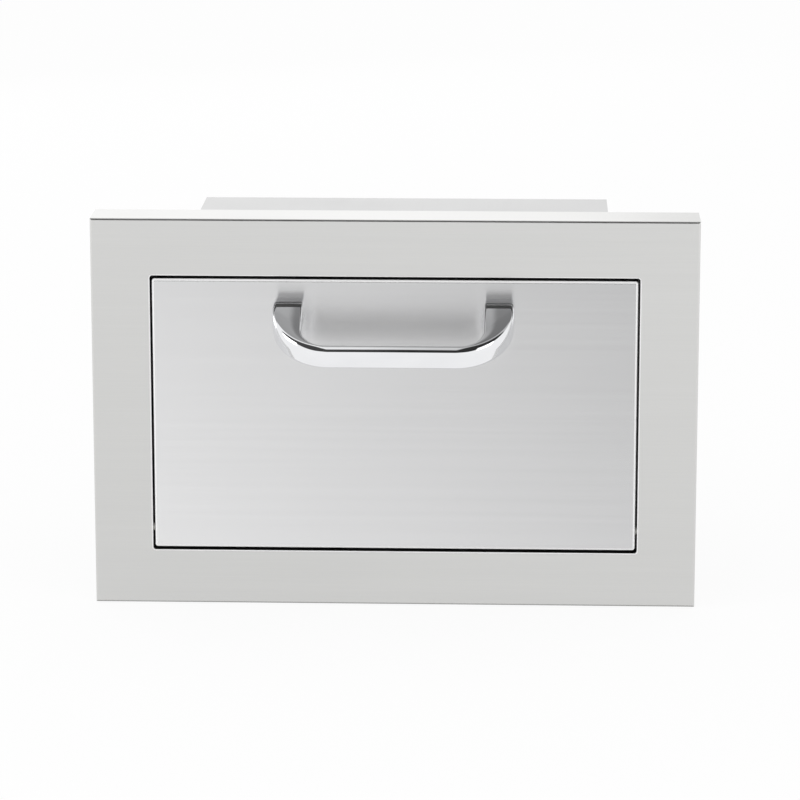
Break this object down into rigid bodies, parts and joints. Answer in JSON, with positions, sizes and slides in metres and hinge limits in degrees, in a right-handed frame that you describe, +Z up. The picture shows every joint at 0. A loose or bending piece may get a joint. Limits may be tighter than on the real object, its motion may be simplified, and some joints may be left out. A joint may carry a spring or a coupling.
{
  "type": "paper towel holder cabinet",
  "caption": "Built-in stainless cabinet for a paper towel roll: proud face frame, inset tilt-down door with a bow handle, sheet liner behind the wall and a sprung roll rod inside.",
  "frame": {"origin": "middle of the face frame's outline, on the wall plane that its rear lip rests on", "axes": "+Z up, +X to the right seen from the front, front facing -Y, +Y into the wall"},
  "size_m": [0.4318, 0.3168, 0.2814],
  "materials": {
    "frame_steel": "fine satin brushed",
    "door_steel": "brushed along the width",
    "sheet_steel": "mill satin",
    "handle_chrome": "polished",
    "rod_steel": "polished tube",
    "fastener_steel": "plain",
    "white_nylon": "moulded",
    "black_plastic": "moulded",
    "magnet_grey": "ferrite and pole plates",
    "bumper_rubber": "soft matt"
  },
  "bodies": {
    "cabinet": {"face_frame": "frame_steel", "rebate_frame": "sheet_steel", "rebate_rivets": "fastener_steel", "liner_top": "sheet_steel", "liner_bottom": "sheet_steel", "liner_left_side": "sheet_steel", "liner_right_side": "sheet_steel", "liner_back": "sheet_steel", "liner_rivets": "fastener_steel", "hinge_bracket_left": "sheet_steel", "hinge_bracket_right": "sheet_steel", "hinge_pin_left": "fastener_steel", "hinge_pin_right": "fastener_steel", "hinge_washer_left": "white_nylon", "hinge_washer_right": "white_nylon", "catch_bracket": "sheet_steel", "catch_bracket_rivets": "fastener_steel", "magnet_catch_body": "black_plastic", "catch_magnet": "magnet_grey", "catch_screws": "fastener_steel", "door_bumpers": "bumper_rubber", "roll_bracket_left": "sheet_steel", "roll_bracket_right": "sheet_steel", "bracket_rivets": "fastener_steel"},
    "door": {"door_skin": "door_steel", "door_inner_panel": "sheet_steel", "inner_panel_screws": "fastener_steel", "hinge_block_left": "white_nylon", "hinge_block_right": "white_nylon", "handle": "handle_chrome", "handle_screws": "fastener_steel", "handle_washers": "fastener_steel", "strike_plate": "fastener_steel", "strike_rivets": "fastener_steel", "stay_left": "sheet_steel", "stay_right": "sheet_steel", "stay_rivets": "fastener_steel", "stay_stop_pins": "fastener_steel"},
    "rod": {"rod_tube": "rod_steel", "rod_end_cap": "white_nylon", "rod_spring_seat": "white_nylon", "rod_spring": "fastener_steel", "rod_collar": "white_nylon"},
    "plunger": {"rod_plunger": "white_nylon"}
  },
  "joints": [
    {"name": "door_hinge", "type": "hinge", "parent": "cabinet", "child": "door", "pos_m": [0, -0.0321, -0.08565], "axis": [1, 0, 0], "range_deg": [0, 90]},
    {"name": "rod_spin", "type": "hinge", "parent": "cabinet", "child": "rod", "pos_m": [0, 0.1031, -0.00635], "axis": [1, 0, 0], "continuous": true},
    {"name": "plunger_slide", "type": "slide", "parent": "rod", "child": "plunger", "axis": [-1, 0, 0], "range_m": [0, 0.012], "stiffness_N_per_m": 350, "springref_m": -0.008, "deforming": ["rod_spring"]}
  ]
}
